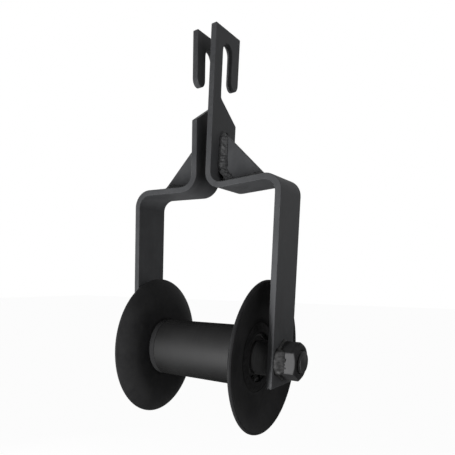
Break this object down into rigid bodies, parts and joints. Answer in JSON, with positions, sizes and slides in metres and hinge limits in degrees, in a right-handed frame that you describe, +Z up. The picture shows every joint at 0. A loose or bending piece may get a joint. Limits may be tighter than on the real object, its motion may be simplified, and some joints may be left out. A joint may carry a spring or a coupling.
{
  "type": "stringing block",
  "caption": "Wide flanged roller on bearings between two bent flat-bar half-frames, whose opposed hooks close into a hanging eye and swing apart about the axle.",
  "frame": {"origin": "centre of the eye that the two hooks form, midway between the straps, where the block hangs", "axes": "+X along the axle towards the right half-frame, +Z up from the axle to the eye, +Y the way the right hook opens"},
  "size_m": [0.212, 0.16, 0.41],
  "materials": {
    "frame_paint": "satin",
    "weld": "satin",
    "flange_paint": "satin",
    "drum_steel": "brushed",
    "nut_steel": "satin",
    "axle_steel": "satin",
    "machined_steel": "satin",
    "spring_steel": "satin",
    "bearing_steel": "polished",
    "cage_steel": "satin",
    "shield_steel": "satin"
  },
  "bodies": {
    "left_frame": {"left_half_frame": "frame_paint", "left_gusset": "frame_paint", "left_gusset_weld": "weld", "left_nut": "nut_steel", "left_nut_weld": "weld", "axle": "axle_steel", "inner_sleeve": "machined_steel", "right_spacer_bush": "machined_steel", "left_spacer_bush": "machined_steel", "right_bearing_inner_ring": "bearing_steel", "left_bearing_inner_ring": "bearing_steel"},
    "right_frame": {"right_half_frame": "frame_paint", "right_gusset": "frame_paint", "right_gusset_weld": "weld", "right_nut": "nut_steel", "right_nut_weld": "weld"},
    "roller": {"drum_tube": "drum_steel", "right_hub": "machined_steel", "right_flange": "flange_paint", "right_flange_weld": "weld", "right_bearing_outer_ring": "bearing_steel", "right_bearing_shields": "shield_steel", "right_circlip": "spring_steel", "left_hub": "machined_steel", "left_flange": "flange_paint", "left_flange_weld": "weld", "left_bearing_outer_ring": "bearing_steel", "left_bearing_shields": "shield_steel", "left_circlip": "spring_steel"},
    "right_ball_set": {"right_bearing_balls": "bearing_steel", "right_bearing_cage": "cage_steel"},
    "left_ball_set": {"left_bearing_balls": "bearing_steel", "left_bearing_cage": "cage_steel"}
  },
  "joints": [
    {"name": "roller_spin", "type": "hinge", "parent": "left_frame", "child": "roller", "pos_m": [0, 0, -0.308], "axis": [1, 0, 0], "continuous": true},
    {"name": "right_frame_swing", "type": "hinge", "parent": "left_frame", "child": "right_frame", "pos_m": [0, 0, -0.308], "axis": [1, 0, 0], "range_deg": [-75, 75]},
    {"name": "right_ball_set_turn", "type": "hinge", "parent": "left_frame", "child": "right_ball_set", "pos_m": [0, 0, -0.308], "axis": [1, 0, 0], "continuous": true},
    {"name": "left_ball_set_turn", "type": "hinge", "parent": "left_frame", "child": "left_ball_set", "pos_m": [0, 0, -0.308], "axis": [1, 0, 0], "continuous": true}
  ],
  "couplings": [
    {"joint": "right_ball_set_turn", "follows": "roller_spin", "ratio": 0.6},
    {"joint": "left_ball_set_turn", "follows": "roller_spin", "ratio": 0.6}
  ]
}
